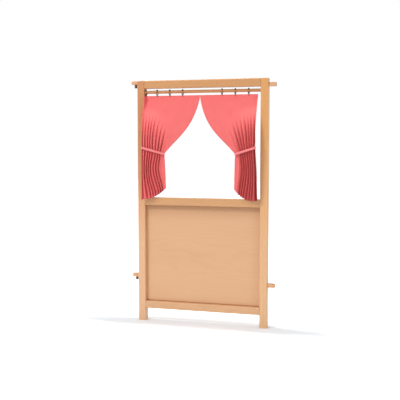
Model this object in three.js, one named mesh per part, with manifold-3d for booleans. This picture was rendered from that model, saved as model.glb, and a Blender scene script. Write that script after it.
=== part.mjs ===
// A free-standing puppet theater front: a wooden frame with an infill panel below and a curtained stage
// opening above. Millimetres, +Z up. The audience is on the -Y side. The origin is on the floor, under the
// middle of the box round the whole object, so the frame itself stands a little behind it.

import * as THREE from 'three';
import { mergeVertices } from 'three/addons/utils/BufferGeometryUtils.js';
import Module from 'manifold-3d';

const wasm = await Module();
wasm.setup();

// Frame
const frameHeight = 1250;
const frameWidth = 684;
const frameDepth = 42;
const stileWidth = 38;
const topRailHeight = 40;
const midRailHeight = 40;
const midRailTop = 650;
const bottomRailHeight = 38;
const footHeight = 66;
const edgeRadius = 3;
const endBevel = 1.2;

// Infill panel in its grooves
const panelThickness = 6;
const panelSetback = 22;
const grooveDepth = 6.5;

// Dowels of the rail joints
const dowelRadius = 4;
const dowelLength = 41;
const dowelChamfer = 1;
const dowelEndGap = 0.5;
const dowelWall = 1.2;

// Curtain rod and rings
const rodRadius = 8;
const rodGap = 10;
const rodSeat = 12;
const ringRadius = 13.5;
const ringWire = 2.5;
const leftSlidingRings = 3;
const rightSlidingRings = 3;

// Where the rings hang, as shares of half the opening's width
const innerRingShare = 0.34;
const ringPitchShare = 0.2253;

// Linking tabs, pins and eyes
const linkReach = 38;
const linkWidth = 26;
const tabThickness = 18;
const eyeThickness = 20;
const linkSeatGap = 2;
const linkTipGap = 2;
const lowerTabTop = 247;
const linkBevel = 1.5;
const tenonShoulder = 4;
const tenonWall = 2;
const pinRadius = 7;
const pinReach = 18;
const pinCover = 8;
const pinChamfer = 2;
const pinClearance = 0.75;

// Curtains. Places forward are measured from the middle of the frame's depth towards the audience, and the
// slack is what a curtain's cloth has more than the straight way from its heading to the ledge.
const curtainShift = -8;
const curtainParting = 0.3;
const headEndGap = 1;
const headForward = 3;
const headStraight = 8;
const leftHemSlack = 20;
const rightHemSlack = 16;
const clothThickness = 2.4;
const waistOuterForward = 67;
const waistInnerForward = 37;
const hemOuterForward = 46;
const hemInnerForward = 20;
const waistFold = 7.5;
const hemFold = 8.5;

// How far out the waist and the hem lie, as shares of half the opening's width
const waistOuterShare = 0.974;
const waistInnerShare = 0.609;
const hemOuterShare = 1.005;
const hemInnerShare = 0.59;

// How far down the tieback's ends lie, as shares of the way from the heading to the ledge
const tieOuterShare = 0.507;
const tieInnerShare = 0.569;

// How the curtain's inner edge swings out from the heading to the waist, as shares of its own swing. The
// threads further out swing ever straighter.
const firstOutShare = 0.13;
const firstDropShare = 0.55;
const lastOutShare = 0.3;
const lastRiseShare = 0.22;
const straightShare = 1 / 3;

// Where the folds lie across the curtain, and where they fade out above the waist
const foldCount = 8;
const foldedShare = 0.87;
const edgeFoldShare = 0.4;
const outerFadeShare = 0.28;
const innerFadeShare = 0.75;

// Tiebacks
const bandHeight = 12;
const bandThickness = 2.2;
const bandMargin = 1;

// Clearance between pieces that touch, and how far a cut runs past the wood
const fitGap = 0.3;
const overrun = 2;

// Steps of round and folded forms
const cornerSteps = 4;
const boreSteps = 16;
const rodSteps = 32;
const ringSteps = 24;
const wireSteps = 8;
const pinSteps = 24;
const bevelSteps = 2;
const stepsPerFold = 4;
const marginSteps = 3;
const rowsAboveWaist = 9;
const rowsBelowWaist = 4;

// Places that follow from the sizes above
const openingHalf = frameWidth / 2 - stileWidth;
const midRailBottom = midRailTop - midRailHeight;
const bottomRailTop = footHeight + bottomRailHeight;
const panelMiddle = panelSetback + panelThickness / 2 - frameDepth / 2;
const boreRadius = dowelRadius + fitGap;
const boreDepth = dowelLength / 2 + dowelEndGap;
const boreInset = grooveDepth + boreRadius + dowelWall;
const rodHeight = frameHeight - topRailHeight - rodGap - rodRadius;
const ringHeight = rodHeight + rodRadius + fitGap - (ringRadius - ringWire);
const outerRingPlace = openingHalf - ringWire - fitGap;
const innerRingPlace = openingHalf * innerRingShare;
const ringPitch = openingHalf * ringPitchShare;
const headTop = ringHeight - ringRadius - ringWire - fitGap;
const stageDrop = headTop - midRailTop;
const headOuter = openingHalf + curtainShift - headEndGap;
const waistOuter = openingHalf * waistOuterShare;
const waistInner = openingHalf * waistInnerShare;
const hemOuter = openingHalf * hemOuterShare;
const hemInner = openingHalf * hemInnerShare;
const bandOuterHeight = headTop - stageDrop * tieOuterShare;
const bandInnerHeight = headTop - stageDrop * tieInnerShare;
const eyeDrop = tabThickness + linkSeatGap;
const eyePlace = linkReach - linkWidth / 2;
const pinPlace = linkReach + linkTipGap - eyePlace;
const pinSeat = tabThickness - pinCover;
const tenonLength = stileWidth - boreDepth - tenonWall;
const waistTurn = Math.atan2(waistOuterForward - waistInnerForward, waistOuter - waistInner);
const bandInside = (waistFold + clothThickness / 2) * Math.cos(waistTurn) + fitGap;
const bandOutside = bandInside + bandThickness;
const bandEnd = (edgeFoldShare * waistFold + clothThickness / 2) * Math.sin(waistTurn) + fitGap;
const frameSetback = (waistOuterForward + bandOutside - frameDepth / 2) / 2;

const beech = new THREE.MeshStandardMaterial({ color: 0xdcab74, roughness: 0.55, metalness: 0 });
const panelWood = new THREE.MeshStandardMaterial({ color: 0xddb187, roughness: 0.6, metalness: 0 });
const rodWood = new THREE.MeshStandardMaterial({ color: 0xc9986a, roughness: 0.5, metalness: 0 });
const dowelWood = new THREE.MeshStandardMaterial({ color: 0xd8b58a, roughness: 0.7, metalness: 0 });
const darkMetal = new THREE.MeshStandardMaterial({ color: 0x4a3c30, roughness: 0.4, metalness: 0.9 });
const redCloth = new THREE.MeshStandardMaterial({ color: 0xf4797b, roughness: 0.9, metalness: 0 });
const bandCloth = new THREE.MeshStandardMaterial({ color: 0xf58a8e, roughness: 0.9, metalness: 0 });

const { lerp, smoothstep } = THREE.MathUtils;

// A closed geometry as a solid that can be joined and cut
function solid(geometry) {
  const bare = geometry.clone();
  bare.deleteAttribute('normal');
  bare.deleteAttribute('uv');
  const merged = mergeVertices(bare);
  const vertProperties = merged.attributes.position.array;
  const triVerts = Uint32Array.from(merged.index.array);
  return new wasm.Manifold(new wasm.Mesh({ numProp: 3, vertProperties, triVerts }));
}

function geometryOf(joined) {
  const { vertProperties, triVerts } = joined.getMesh();
  const geometry = new THREE.BufferGeometry();
  geometry.setAttribute('position', new THREE.BufferAttribute(new Float32Array(vertProperties), 3));
  geometry.setIndex(new THREE.BufferAttribute(new Uint32Array(triVerts), 1));
  geometry.computeVertexNormals();
  return geometry;
}

function cut(geometry, cutters) {
  const rest = cutters.reduce((body, cutter) => body.subtract(solid(cutter)), solid(geometry));
  return geometryOf(rest);
}

function named(name, geometry, material, place = new THREE.Vector3()) {
  const mesh = new THREE.Mesh(geometry, material.clone());
  mesh.name = name;
  mesh.position.copy(place);
  return mesh;
}

function roundedRectangle(path, halfWidth, halfHeight, radius) {
  path.moveTo(halfWidth, radius - halfHeight);
  path.lineTo(halfWidth, halfHeight - radius);
  path.absarc(halfWidth - radius, halfHeight - radius, radius, 0, Math.PI / 2);
  path.lineTo(radius - halfWidth, halfHeight);
  path.absarc(radius - halfWidth, halfHeight - radius, radius, Math.PI / 2, Math.PI);
  path.lineTo(-halfWidth, radius - halfHeight);
  path.absarc(radius - halfWidth, radius - halfHeight, radius, Math.PI, Math.PI * 1.5);
  path.lineTo(halfWidth - radius, -halfHeight);
  path.absarc(halfWidth - radius, radius - halfHeight, radius, Math.PI * 1.5, Math.PI * 2);
  return path;
}

// A bar of rounded section standing on z = 0, its ends eased by a small bevel
function standingBar(width, depth, length, bevel) {
  const section = roundedRectangle(new THREE.Shape(), width / 2, depth / 2, edgeRadius);
  const bar = new THREE.ExtrudeGeometry(section, {
    depth: length - 2 * bevel,
    curveSegments: cornerSteps,
    bevelEnabled: bevel > 0,
    bevelThickness: bevel,
    bevelSize: bevel,
    bevelOffset: -bevel,
    bevelSegments: bevelSteps,
  });
  return bar.translate(0, 0, bevel);
}

// A bar of rounded section lying along X, centred on x = 0, with square ends
function lyingBar(height, length) {
  return standingBar(height, frameDepth, length, 0).translate(0, 0, -length / 2).rotateY(Math.PI / 2);
}

function roundAlongX(radius, length, steps) {
  return new THREE.CylinderGeometry(radius, radius, length, steps).rotateZ(Math.PI / 2);
}

function roundAlongZ(radius, length, steps) {
  return new THREE.CylinderGeometry(radius, radius, length, steps).rotateX(Math.PI / 2);
}

// A turned pin along Z from z = 0 down to z = -length, its lower edge chamfered, and its upper one too
// where it has a chamfer there
function turnedPin(radius, length, lowerChamfer, upperChamfer, steps) {
  const profile = [
    new THREE.Vector2(0, -length),
    new THREE.Vector2(radius - lowerChamfer, -length),
    new THREE.Vector2(radius, lowerChamfer - length),
    new THREE.Vector2(radius, -upperChamfer),
    new THREE.Vector2(radius - upperChamfer, 0),
    new THREE.Vector2(0, 0),
  ];
  return new THREE.LatheGeometry(profile, steps).rotateX(Math.PI / 2);
}

const rails = [
  { name: 'top', bottom: frameHeight - topRailHeight, height: topRailHeight },
  { name: 'mid', bottom: midRailBottom, height: midRailHeight },
  { name: 'bottom', bottom: footHeight, height: bottomRailHeight },
];

// Two dowels in each end of a rail, as far from its edges as the panel's groove asks
function dowelHeights(rail) {
  return [
    { level: 'lower', height: rail.bottom + boreInset },
    { level: 'upper', height: rail.bottom + rail.height - boreInset },
  ];
}

function dowelBores(rail, side) {
  return dowelHeights(rail).map(({ height }) => (
    roundAlongX(boreRadius, 2 * boreDepth, boreSteps).translate(side * openingHalf, 0, height)
  ));
}

function panelGroove() {
  const width = 2 * (openingHalf + grooveDepth);
  const height = midRailBottom - bottomRailTop + 2 * grooveDepth;
  const groove = new THREE.BoxGeometry(width, panelThickness + 2 * fitGap, height);
  return groove.translate(0, panelMiddle, (midRailBottom + bottomRailTop) / 2);
}

// Linking tabs stand out of the left stile and eyes out of the right one, each on a tenon in its mortise
const links = [
  { name: 'left_upper_tab', side: -1, top: frameHeight, thickness: tabThickness },
  { name: 'left_lower_tab', side: -1, top: lowerTabTop, thickness: tabThickness },
  { name: 'right_upper_eye', side: 1, top: frameHeight - eyeDrop, thickness: eyeThickness },
  { name: 'right_lower_eye', side: 1, top: lowerTabTop - eyeDrop, thickness: eyeThickness },
];

function tenonBox(link, clearance) {
  const length = tenonLength + clearance + overrun;
  const width = linkWidth - 2 * tenonShoulder + 2 * clearance;
  const height = link.thickness - 2 * tenonShoulder + 2 * clearance;
  const box = new THREE.BoxGeometry(length, width, height);
  const inner = frameWidth / 2 - tenonLength - clearance;
  return box.translate(link.side * (inner + length / 2), 0, link.top - link.thickness / 2);
}

function stile(side) {
  const post = standingBar(stileWidth, frameDepth, frameHeight, endBevel);
  post.translate(side * (frameWidth - stileWidth) / 2, 0, 0);
  const rodHole = roundAlongX(rodRadius + fitGap, 2 * rodSeat, rodSteps);
  rodHole.translate(side * openingHalf, 0, rodHeight);
  const mortises = links.filter((link) => link.side === side).map((link) => tenonBox(link, fitGap));
  const bores = rails.flatMap((rail) => dowelBores(rail, side));
  return cut(post, [panelGroove(), rodHole, ...mortises, ...bores]);
}

function railGeometry(rail) {
  const bar = lyingBar(rail.height, 2 * (openingHalf - fitGap));
  bar.translate(0, 0, rail.bottom + rail.height / 2);
  return cut(bar, [panelGroove(), ...dowelBores(rail, -1), ...dowelBores(rail, 1)]);
}

function dowelMeshes(rail) {
  return [-1, 1].flatMap((side) => dowelHeights(rail).map(({ level, height }) => {
    const name = `${rail.name}_rail_${side < 0 ? 'left' : 'right'}_${level}_dowel`;
    const dowel = turnedPin(dowelRadius, dowelLength, dowelChamfer, dowelChamfer, boreSteps);
    dowel.translate(0, 0, dowelLength / 2).rotateY(Math.PI / 2);
    return named(name, dowel, dowelWood, new THREE.Vector3(side * openingHalf, 0, height));
  }));
}

function infillPanel() {
  const reach = grooveDepth - fitGap;
  const width = 2 * (openingHalf + reach);
  const height = midRailBottom - bottomRailTop + 2 * reach;
  const place = new THREE.Vector3(0, panelMiddle, (midRailBottom + bottomRailTop) / 2);
  return named('infill_panel', new THREE.BoxGeometry(width, panelThickness, height), panelWood, place);
}

function curtainRod() {
  const rod = roundAlongX(rodRadius, 2 * (openingHalf + rodSeat - fitGap), rodSteps);
  return named('curtain_rod', rod, rodWood, new THREE.Vector3(0, 0, rodHeight));
}

function ringMesh(name, place) {
  const ring = new THREE.TorusGeometry(ringRadius, ringWire, wireSteps, ringSteps).rotateY(Math.PI / 2);
  return named(name, ring, darkMetal, new THREE.Vector3(place, 0, ringHeight));
}

// Ring 1 is the outermost. The left one lies against its stile, and the others follow at even steps.
function ringMeshes() {
  const leftRings = [...Array(leftSlidingRings).keys()].map((step) => (
    ringMesh(`left_ring_${leftSlidingRings + 1 - step}`, -innerRingPlace - step * ringPitch)
  ));
  const rightRings = [...Array(rightSlidingRings).keys()].map((step) => (
    ringMesh(`right_ring_${rightSlidingRings - step}`, innerRingPlace + step * ringPitch)
  ));
  return [ringMesh('left_ring_1', -outerRingPlace), ...leftRings, ...rightRings];
}

// A link's plate: square at the stile and half round at its tip, with eased edges and a tenon behind it
function linkPlate(link) {
  const outline = new THREE.Shape();
  outline.moveTo(0, -linkWidth / 2);
  outline.lineTo(eyePlace, -linkWidth / 2);
  outline.absarc(eyePlace, 0, linkWidth / 2, -Math.PI / 2, Math.PI / 2);
  outline.lineTo(0, linkWidth / 2);
  outline.closePath();
  const plate = new THREE.ExtrudeGeometry(outline, {
    depth: link.thickness - 2 * linkBevel,
    curveSegments: boreSteps,
    bevelEnabled: true,
    bevelThickness: linkBevel,
    bevelSize: linkBevel,
    bevelOffset: -linkBevel,
    bevelSegments: bevelSteps,
  });
  plate.rotateZ(link.side < 0 ? Math.PI : 0);
  const root = link.side * (frameWidth / 2 + fitGap);
  plate.translate(root, 0, link.top - link.thickness + linkBevel);
  return solid(plate).add(solid(tenonBox(link, 0)));
}

function tabMesh(link) {
  const seat = roundAlongZ(pinRadius + fitGap, 2 * pinSeat, pinSteps);
  const place = link.side * (frameWidth / 2 + pinPlace);
  seat.translate(place, 0, link.top - link.thickness);
  return named(link.name, geometryOf(linkPlate(link).subtract(solid(seat))), beech);
}

function eyeMesh(link) {
  const hole = roundAlongZ(pinRadius + pinClearance, link.thickness + overrun, pinSteps);
  hole.translate(link.side * (frameWidth / 2 + eyePlace), 0, link.top - link.thickness / 2);
  return named(link.name, geometryOf(linkPlate(link).subtract(solid(hole))), beech);
}

function pinMesh(link) {
  const pin = turnedPin(pinRadius, pinReach + pinSeat - fitGap, pinChamfer, dowelChamfer, pinSteps);
  const top = link.top - link.thickness + pinSeat - fitGap;
  const place = new THREE.Vector3(link.side * (frameWidth / 2 + pinPlace), 0, top);
  return named(link.name.replace('tab', 'pin'), pin, darkMetal, place);
}

function linkMeshes() {
  return links.flatMap((link) => (link.side < 0 ? [tabMesh(link), pinMesh(link)] : [eyeMesh(link)]));
}

// The height of the tieback's middle line at a share across the curtain, from its outer edge to its inner
function bandMiddle(across) {
  return lerp(bandOuterHeight, bandInnerHeight, across);
}

// The way of one thread from the straight heading to the top of the tieback. Outwards is +X here, from the
// line where the two curtains meet.
function upperThread(across) {
  const head = new THREE.Vector3(
    lerp(headOuter, curtainParting, across),
    -headForward,
    headTop - headStraight,
  );
  const waist = new THREE.Vector3(
    lerp(waistOuter, waistInner, across),
    -lerp(waistOuterForward, waistInnerForward, across),
    bandMiddle(across) + bandHeight / 2 + bandMargin,
  );
  const swing = waist.clone().sub(head);
  const share = (innermost) => lerp(straightShare, innermost, across * across);
  const first = new THREE.Vector3(share(firstOutShare), 1, share(firstDropShare)).multiply(swing);
  const last = new THREE.Vector3(share(lastOutShare), 0, share(lastRiseShare)).multiply(swing);
  return new THREE.CubicBezierCurve3(head, head.clone().add(first), waist.clone().sub(last), waist);
}

// One thread's points from the heading to the hem, each with the depth of the folds there. Every thread of a
// curtain has the same length, so the hem rises where the cloth swings furthest.
function threadPoints(across, threadLength) {
  const upper = upperThread(across);
  const top = upper.getPoint(0).setZ(headTop);
  const points = [{ place: top, fold: 0 }];
  const fade = lerp(outerFadeShare, innerFadeShare, across);
  for (let row = 0; row <= rowsAboveWaist; row += 1) {
    const down = row / rowsAboveWaist;
    points.push({ place: upper.getPoint(down), fold: waistFold * smoothstep(down, fade, 1) });
  }
  const tied = bandHeight + 2 * bandMargin;
  const waist = upper.getPoint(1);
  waist.z -= tied;
  points.push({ place: waist, fold: waistFold });
  const hem = new THREE.Vector3(
    lerp(hemOuter, hemInner, across),
    -lerp(hemOuterForward, hemInnerForward, across),
    waist.z - (threadLength - headStraight - upper.getLength() - tied),
  );
  for (let row = 1; row <= rowsBelowWaist; row += 1) {
    const down = row / rowsBelowWaist;
    points.push({ place: waist.clone().lerp(hem, down), fold: lerp(waistFold, hemFold, down) });
  }
  return points;
}

// Shares across the curtain with the height of the wave there: two steps on a ridge, two in a valley, and a
// plain margin along the inner edge
function clothColumns() {
  const foldSteps = foldCount * stepsPerFold;
  const columns = [];
  for (let step = 0; step <= foldSteps; step += 1) {
    const phase = (step + 1 / 2) * 2 * Math.PI / stepsPerFold;
    const wave = Math.SQRT2 * Math.cos(phase) * Math.min(1, edgeFoldShare + step);
    columns.push({ across: foldedShare * step / foldSteps, wave });
  }
  for (let step = 1; step <= marginSteps; step += 1) {
    const share = step / marginSteps;
    columns.push({ across: lerp(foldedShare, 1, share), wave: 1 - share });
  }
  return columns;
}

// A closed skin round a sheet whose front and back are grids of points, front first. Along a row the points
// run towards -X, and the rows run down.
function closedSheet(positions, rows, columns) {
  const front = (row, column) => row * columns + column;
  const back = (row, column) => rows * columns + front(row, column);
  const index = [];
  const quad = (a, b, c, d) => index.push(a, b, d, b, c, d);
  for (let row = 0; row < rows - 1; row += 1) {
    const next = row + 1;
    const last = columns - 1;
    for (let column = 0; column < last; column += 1) {
      const beside = column + 1;
      quad(front(row, column), front(row, beside), front(next, beside), front(next, column));
      quad(back(row, column), back(next, column), back(next, beside), back(row, beside));
    }
    quad(front(row, 0), front(next, 0), back(next, 0), back(row, 0));
    quad(front(row, last), back(row, last), back(next, last), front(next, last));
  }
  for (let column = 0; column < columns - 1; column += 1) {
    const beside = column + 1;
    const bottom = rows - 1;
    quad(front(0, column), back(0, column), back(0, beside), front(0, beside));
    quad(front(bottom, column), front(bottom, beside), back(bottom, beside), back(bottom, column));
  }
  const geometry = new THREE.BufferGeometry();
  geometry.setAttribute('position', new THREE.Float32BufferAttribute(positions, 3));
  geometry.setIndex(index);
  geometry.computeVertexNormals();
  return geometry;
}

function curtainMesh(name, side, hemSlack) {
  const columns = clothColumns();
  if (side < 0) columns.reverse();
  const threads = columns.map(({ across, wave }) => (
    threadPoints(across, stageDrop + hemSlack).map(({ place, fold }) => (
      new THREE.Vector3(curtainShift + side * place.x, place.y - wave * fold, place.z)
    ))
  ));
  const rows = threads[0].length;
  const positions = [-clothThickness / 2, clothThickness / 2].flatMap((offset) => (
    [...Array(rows).keys()].flatMap((row) => (
      threads.flatMap((thread) => [thread[row].x, thread[row].y + offset, thread[row].z])
    ))
  ));
  return named(name, closedSheet(positions, rows, columns.length), redCloth);
}

// A band of cloth closed round the folded waist, turned as the waist is and sloping down to its inner end
function tiebackMesh(name, side) {
  const half = Math.hypot(waistOuter - waistInner, waistOuterForward - waistInnerForward) / 2 + bandEnd;
  const outline = roundedRectangle(new THREE.Shape(), half + bandThickness, bandOutside, bandOutside / 2);
  outline.holes.push(roundedRectangle(new THREE.Path(), half, bandInside, bandInside / 2));
  const band = new THREE.ExtrudeGeometry(outline, {
    depth: bandHeight,
    curveSegments: cornerSteps,
    bevelEnabled: false,
  });
  const slope = side * (bandOuterHeight - bandInnerHeight) / (waistOuter - waistInner);
  band.translate(0, 0, -bandHeight / 2).rotateZ(-side * waistTurn);
  band.applyMatrix4(new THREE.Matrix4().makeShear(0, slope, 0, 0, 0, 0));
  const place = new THREE.Vector3(
    curtainShift + side * (waistOuter + waistInner) / 2,
    -(waistOuterForward + waistInnerForward) / 2,
    (bandOuterHeight + bandInnerHeight) / 2,
  );
  return named(name, band, bandCloth, place);
}

const theater = new THREE.Group();
theater.position.y = frameSetback;
theater.add(named('left_stile', stile(-1), beech));
theater.add(named('right_stile', stile(1), beech));
rails.forEach((rail) => {
  theater.add(named(`${rail.name}_rail`, railGeometry(rail), beech));
  theater.add(...dowelMeshes(rail));
});
theater.add(infillPanel());
theater.add(curtainRod());
theater.add(...ringMeshes());
theater.add(...linkMeshes());
theater.add(curtainMesh('left_curtain', -1, leftHemSlack));
theater.add(curtainMesh('right_curtain', 1, rightHemSlack));
theater.add(tiebackMesh('left_tieback', -1));
theater.add(tiebackMesh('right_tieback', 1));

export default theater;
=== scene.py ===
"""A puppet theatre stand: a beech frame, a panel under the stage opening, and two red curtains tied back.

Lengths are in metres. X runs along the stand to the right, Y runs away from the audience and Z runs up.
"""
import math

import bpy
import numpy as np
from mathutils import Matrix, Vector


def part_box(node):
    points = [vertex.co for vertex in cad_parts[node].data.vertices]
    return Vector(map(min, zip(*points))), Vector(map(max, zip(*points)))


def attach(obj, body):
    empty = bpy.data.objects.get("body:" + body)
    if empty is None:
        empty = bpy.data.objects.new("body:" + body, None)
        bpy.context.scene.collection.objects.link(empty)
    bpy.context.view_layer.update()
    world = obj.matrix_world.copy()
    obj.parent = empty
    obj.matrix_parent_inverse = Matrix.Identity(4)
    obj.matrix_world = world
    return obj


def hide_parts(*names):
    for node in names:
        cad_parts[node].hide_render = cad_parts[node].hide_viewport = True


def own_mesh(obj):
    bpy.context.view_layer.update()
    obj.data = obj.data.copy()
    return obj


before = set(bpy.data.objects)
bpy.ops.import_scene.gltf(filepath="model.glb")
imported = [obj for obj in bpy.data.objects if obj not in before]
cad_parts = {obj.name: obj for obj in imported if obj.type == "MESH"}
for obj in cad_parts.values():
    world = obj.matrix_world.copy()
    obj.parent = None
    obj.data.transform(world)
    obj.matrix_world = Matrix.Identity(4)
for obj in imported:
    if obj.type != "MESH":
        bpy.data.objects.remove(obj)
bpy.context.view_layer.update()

MM = 0.001

# Which way is outwards on each side
SIDES = {"left": -1, "right": 1}

# Places that the stand's own nodes give
STILE_LOW, STILE_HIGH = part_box("left_stile")
RING_LOW, RING_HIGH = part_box("left_ring_4")
FRAME_MIDDLE = (STILE_LOW.y + STILE_HIGH.y) / 2
OPENING_HALF = -STILE_HIGH.x
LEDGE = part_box("mid_rail")[1].z
HEAD_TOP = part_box("left_curtain")[1].z

# Rings and the thread that holds the heading to them
RING_WIRE = (RING_HIGH.x - RING_LOW.x) / 2
RING_RADIUS = (RING_HIGH.z - RING_LOW.z) / 2 - RING_WIRE
RING_HEIGHT = (RING_HIGH.z + RING_LOW.z) / 2
RING_STEPS = 64
WIRE_STEPS = 20
BINDING_TURNS = 5
BINDING_PITCH = 0.9 * MM
BINDING_THREAD = 0.4 * MM
BINDING_DEPTH = 7 * MM
BINDING_STEPS = 28
THREAD_SIDES = 6

# Curtains: how far out and forward the cloth lies at its heading, waist and hem, how far down it is tied,
# and how far its hem hangs past the ledge and is trimmed
CURTAIN_SHIFT = -8 * MM
HEAD_GAP = {"left": 1.8 * MM, "right": 0.5 * MM}
HEAD_INNER = {"left": 2.6 * MM, "right": -2 * MM}
HEAD_FORWARD = 3 * MM
HEAD_STRAIGHT = 12 * MM
HEAD_RETURN = {"left": 21 * MM, "right": 0}
HEAD_BEND = {"left": 6 * MM, "right": 0.5 * MM}
WAIST_OUTER_SHARE = 0.974
WAIST_INNER_SHARE = {"left": 0.597, "right": 0.616}
WAIST_OUTER_FORWARD = 67 * MM
WAIST_INNER_FORWARD = 37 * MM
HEM_OUTER_SHARE = 1.005
HEM_INNER_SHARE = 0.59
HEM_OUTER_FORWARD = 46 * MM
HEM_INNER_FORWARD = 20 * MM
TIE_OUTER_SHARE = 0.507
TIE_INNER_SHARE = 0.569
HEM_SLACK = {"left": 20 * MM, "right": 16 * MM}
HEM_TRIM = {"left": (-2 * MM, -6 * MM, -10 * MM), "right": (-3 * MM, 6 * MM, 2 * MM)}
CLOTH_THICKNESS = 0.5 * MM
HEM_LAYERS = 2

# The swing of the innermost thread from the heading to the waist, as shares of its own way
FIRST_OUT_SHARE = 0.178
FIRST_DROP_SHARE = 0.595
LAST_OUT_SHARE = 0.317
LAST_RISE_SHARE = 0.272
STRAIGHT_SHARE = 1 / 3
FORWARD_SHARE = 0.8

# Folds, whose places and widths are shares of the way across
FOLD_PITCH = 0.108
FOLDED_SHARE = {"left": 0.87, "right": 0.8}
FIRST_VALLEY = 0.05
FOLD_SKEW = 0.7
FOLD_PHASE = {"left": 0.4, "right": 2.5}
FOLD_DRIFT = 0.1
DRIFT_RATE = 17
FOLD_UNEVEN = 0.12
UNEVEN_RATE = 23
EDGE_FADE = (-0.03, 0.04)
MARGIN_FADE = (-0.5, 0.3)
OUTER_FADE_SHARE = 0.3
INNER_FADE_SHARE = 0.72
RIDGE_POWER = 1.2
VALLEY_POWER = 1.2

# How deep the folds are, how far from the band it changes them, and how far down they start to turn with
# the waist
WAIST_FOLD = 7.4 * MM
HEM_FOLD = 8 * MM
HEM_FOLD_REACH = (20 * MM, 230 * MM)
LOOSE_VALLEY = 1.3
BAND_GRIP = 16 * MM
BAND_TURNOVER = (-25 * MM, 25 * MM)
TURN_FROM = 0.2
TUCK = 3 * MM
TUCK_BELOW = 11 * MM
TUCK_REACH = 6 * MM
PINCH_SHARE = 0.03
PINCH_REACH = 12 * MM

# How far the fold lines fan out above the band and sweep sideways under it
FAN = {"left": 0.75, "right": 0.5}
FAN_POWER = 1.2
FAN_TOP_SHARE = 0.4
SWEEP = {"left": 0.42, "right": 0.25}
HEM_SWEEP = {"left": -0.45, "right": -0.35}
SWEEP_SHARE = 0.38

# How much painted shade darkens the cloth in the valleys of its folds and at an outer edge turned from
# the light; the right curtain gets more, as it lies more in shade
FOLD_SHADE_DEPTH = {"left": 0.38, "right": 1}
FOLD_SHADE_POWER_ABOVE = 1.2
FOLD_SHADE_POWER = {"left": 2, "right": 0.8}
FOLD_SHADE_CHANGE = (-25 * MM, 10 * MM)
TURNED_EDGE_SHADE = {"left": 0, "right": 0.35}
TURNED_EDGE_SHADE_REACH = (0.03, 0.15)

# Hems and stitches
SIDE_HEM = 9 * MM
HEADING_HEM = 24 * MM
BOTTOM_HEM = 18 * MM
STITCH_INSET = 1.5 * MM
TOP_SEAM = 4.5 * MM
STITCH_LENGTH = 2.9 * MM
STITCH_PITCH = 4 * MM
STITCH_RADIUS = 0.34 * MM
STITCH_SHOULDER = 0.15
STITCH_RISE = 0.4
STITCH_DIP = 0.6
STITCH_SIDES = 5

# Bands
BAND_HEIGHT = 12 * MM
BAND_THICKNESS = 2 * MM
BAND_MARGIN = 1 * MM
BAND_INSIDE = 8.7 * MM
BAND_SQUARENESS = 5
BAND_EDGE_SQUARENESS = 4
BAND_PRESS = 0.35 * MM
BAND_PRESS_PHASE = 1
BAND_SEAMS = (0.24, 0.76)
BAND_STEPS = 220
BAND_SECTION_STEPS = 20

# How many steps the surfaces have, and how often their ways are smoothed
COLUMNS = 224
ROWS_HEADING = 3
ROWS_ABOVE = 84
ROWS_TIED = 8
ROWS_BELOW = 44
SMOOTHING_PASSES = 3


def lerp(start, end, share):
    return start + (end - start) * share


def smoothstep(value, low, high):
    """0 below low, 1 above high and 3s² − 2s³ between them, where s is the share of the way."""
    share = np.clip((value - low) / (high - low), 0, 1)
    return share * share * (3 - 2 * share)


def unit(vectors):
    """Each vector divided by its own length."""
    return vectors / np.maximum(np.linalg.norm(vectors, axis=-1, keepdims=True), 1e-12)


# Node trees


class Value:
    """A socket of a tree of nodes. Sums written with it add the Math nodes that work them out."""

    def __init__(self, tree, socket):
        self.tree = tree
        self.socket = socket

    def math(self, operation, *terms):
        return self.tree.node("Math", {"operation": operation}, dict(enumerate(terms)))

    def __add__(self, other):
        return self.math("ADD", self, other)

    def __radd__(self, other):
        return self.math("ADD", other, self)

    def __sub__(self, other):
        return self.math("SUBTRACT", self, other)

    def __rsub__(self, other):
        return self.math("SUBTRACT", other, self)

    def __mul__(self, other):
        return self.math("MULTIPLY", self, other)

    def __rmul__(self, other):
        return self.math("MULTIPLY", other, self)

    def __abs__(self):
        return self.math("ABSOLUTE", self)

    def sine(self):
        return self.math("SINE", self)

    def fraction(self):
        return self.math("FRACT", self)

    def between(self, low, high):
        """0 where the value is below low, 1 above high and a soft step between them."""
        settings = {"interpolation_type": "SMOOTHSTEP"}
        return self.tree.node("MapRange", settings, {"Value": self, "From Min": low, "From Max": high})


class Tree:
    """The nodes of a material or of the studio's light, and the shader that they end in."""

    def __init__(self, owner, shader):
        owner.use_nodes = True
        self.tree = owner.node_tree
        self.shader = self.tree.nodes[shader]

    def node(self, kind, settings=None, inputs=None, output=0):
        """Adds a node of that kind, sets its settings first and then its sockets, and gives one output."""
        made = self.tree.nodes.new("ShaderNode" + kind)
        for key, setting in (settings or {}).items():
            setattr(made, key, setting)
        for key, value in (inputs or {}).items():
            self.feed(made.inputs[key], value)
        return Value(self, made.outputs[output])

    def feed(self, socket, value):
        if isinstance(value, Value):
            self.tree.links.new(value.socket, socket)
        else:
            socket.default_value = value

    def set(self, **inputs):
        """Feeds the shader's own sockets, with spaces for underscores in their names."""
        for key, value in inputs.items():
            self.feed(self.shader.inputs[key.replace("_", " ")], value)

    def part(self, vector, axis):
        """One of the three parts of a vector."""
        return self.node("SeparateXYZ", {}, {"Vector": vector}, axis)

    def stretch(self, vector, scale):
        """A vector with its three parts multiplied by those of a scale."""
        return self.node("VectorMath", {"operation": "MULTIPLY"}, {0: vector, 1: scale})

    def length(self, vector):
        """How long a vector is."""
        return self.node("VectorMath", {"operation": "LENGTH"}, {0: vector}, "Value")


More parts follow.
